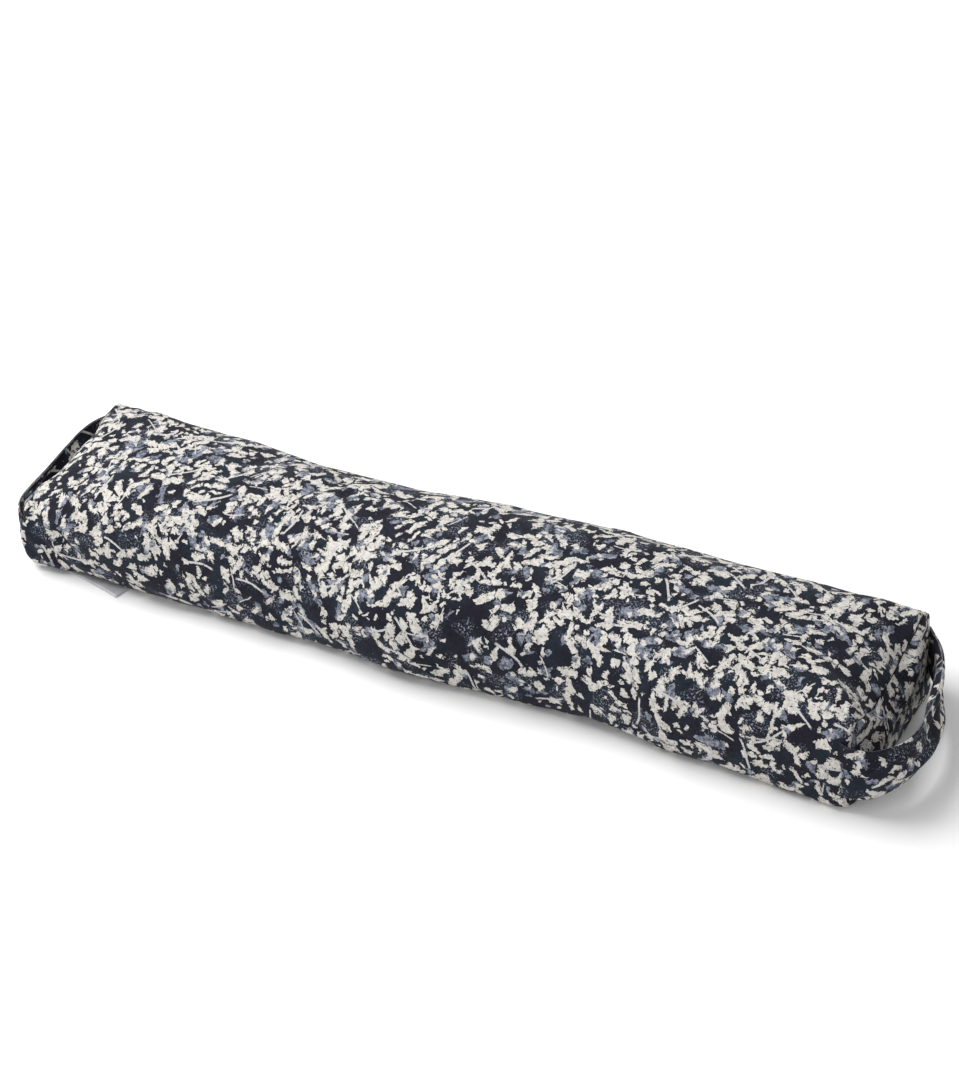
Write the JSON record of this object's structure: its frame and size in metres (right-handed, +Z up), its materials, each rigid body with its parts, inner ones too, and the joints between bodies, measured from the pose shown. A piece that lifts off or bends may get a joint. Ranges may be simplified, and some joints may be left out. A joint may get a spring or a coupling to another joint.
{
  "type": "bolster pillow",
  "caption": "Slim rectangular bolster in a printed navy and stone cotton cover, with a sewn carrying loop at each end and a zip along the lower rear wall.",
  "frame": {"origin": "centre of the underside, on the surface that the bolster rests on", "axes": "+X along the length towards the right-hand end, -Y to the front side, +Y to the rear wall with the zip, +Z up"},
  "size_m": [0.779, 0.1634, 0.09],
  "materials": {
    "printed_cotton": "woven cotton, navy ground with stone and pale blue leaves",
    "zip_tape": "woven navy tape",
    "zip_coil": "navy nylon",
    "zip_metal": "dull antique brass",
    "thread": "navy thread",
    "label_satin": "blank pale satin",
    "liner_cotton": "unbleached calico",
    "cotton_batting": "loose cotton fibre"
  },
  "bodies": {
    "cushion": {"cover_wrap_panel": "printed_cotton", "cover_end_panel_left": "printed_cotton", "cover_end_panel_right": "printed_cotton", "handle_sewn_ends_left": "printed_cotton", "handle_sewn_ends_right": "printed_cotton", "zipper_tape_upper": "zip_tape", "zipper_tape_lower": "zip_tape", "zipper_coil_upper": "zip_coil", "zipper_coil_lower": "zip_coil", "zipper_top_stops": "zip_metal", "zipper_bottom_stop": "zip_metal", "zipper_stitching": "thread", "care_label": "label_satin", "liner_wrap": "liner_cotton", "liner_end_left": "liner_cotton", "liner_end_right": "liner_cotton", "batting_wrap": "cotton_batting", "fill_pad_lower": "cotton_batting", "fill_pad_middle": "cotton_batting", "fill_pad_upper": "cotton_batting"},
    "right_handle": {"handle_strap_right": "printed_cotton"},
    "left_handle": {"handle_strap_left": "printed_cotton"},
    "zipper_slider": {"zipper_slider": "zip_metal"},
    "zipper_pull": {"zipper_pull": "zip_metal"}
  },
  "joints": [
    {"name": "right_handle_swing", "type": "hinge", "parent": "cushion", "child": "right_handle", "pos_m": [0.3602, 0, 0.037], "axis": [0, -1, 0], "range_deg": [-25, 30]},
    {"name": "left_handle_swing", "type": "hinge", "parent": "cushion", "child": "left_handle", "pos_m": [-0.3602, 0, 0.031], "axis": [0, 1, 0], "range_deg": [-22, 30]},
    {"name": "zipper_slide", "type": "slide", "parent": "cushion", "child": "zipper_slider", "axis": [-1, 0, 0], "range_m": [0, 0.44]},
    {"name": "zipper_pull_flip", "type": "hinge", "parent": "zipper_slider", "child": "zipper_pull", "pos_m": [0.2225, 0.08095, 0.03], "axis": [1, 0, 0], "range_deg": [0, 180]}
  ]
}
